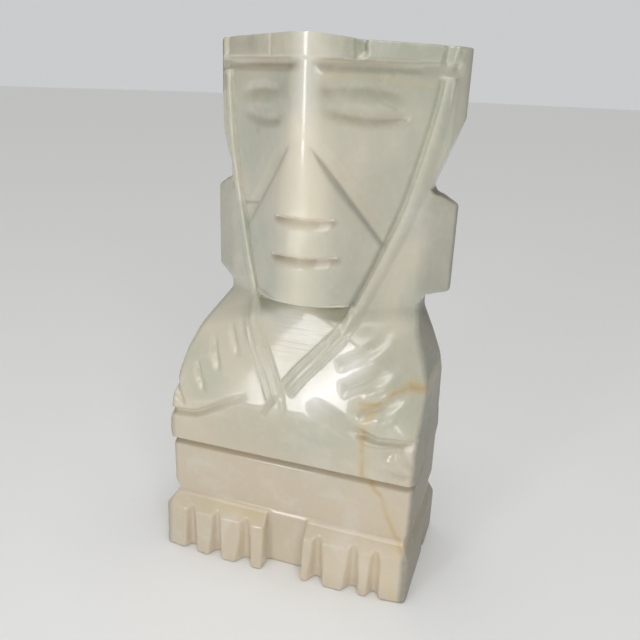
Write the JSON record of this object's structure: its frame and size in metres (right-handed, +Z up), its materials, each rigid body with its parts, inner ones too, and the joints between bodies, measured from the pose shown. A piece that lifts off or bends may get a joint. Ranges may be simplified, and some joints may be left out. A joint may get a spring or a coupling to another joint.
{
  "type": "carved stone bookend",
  "caption": "Polished stone bookend carved from one block as a standing idol with a wedge-shaped face, crossed hands and a flat back.",
  "frame": {"origin": "centre of the bounding box on the underside, the plane it stands on", "axes": "+Z up the figure, +Y out of the flat back, the face looks along -Y, +X to the viewer's right when facing the figure"},
  "size_m": [0.0916, 0.05, 0.1798],
  "materials": {
    "polished_stone": "polished"
  },
  "bodies": {
    "root": {"carved_figure": "polished_stone"}
  },
  "joints": []
}
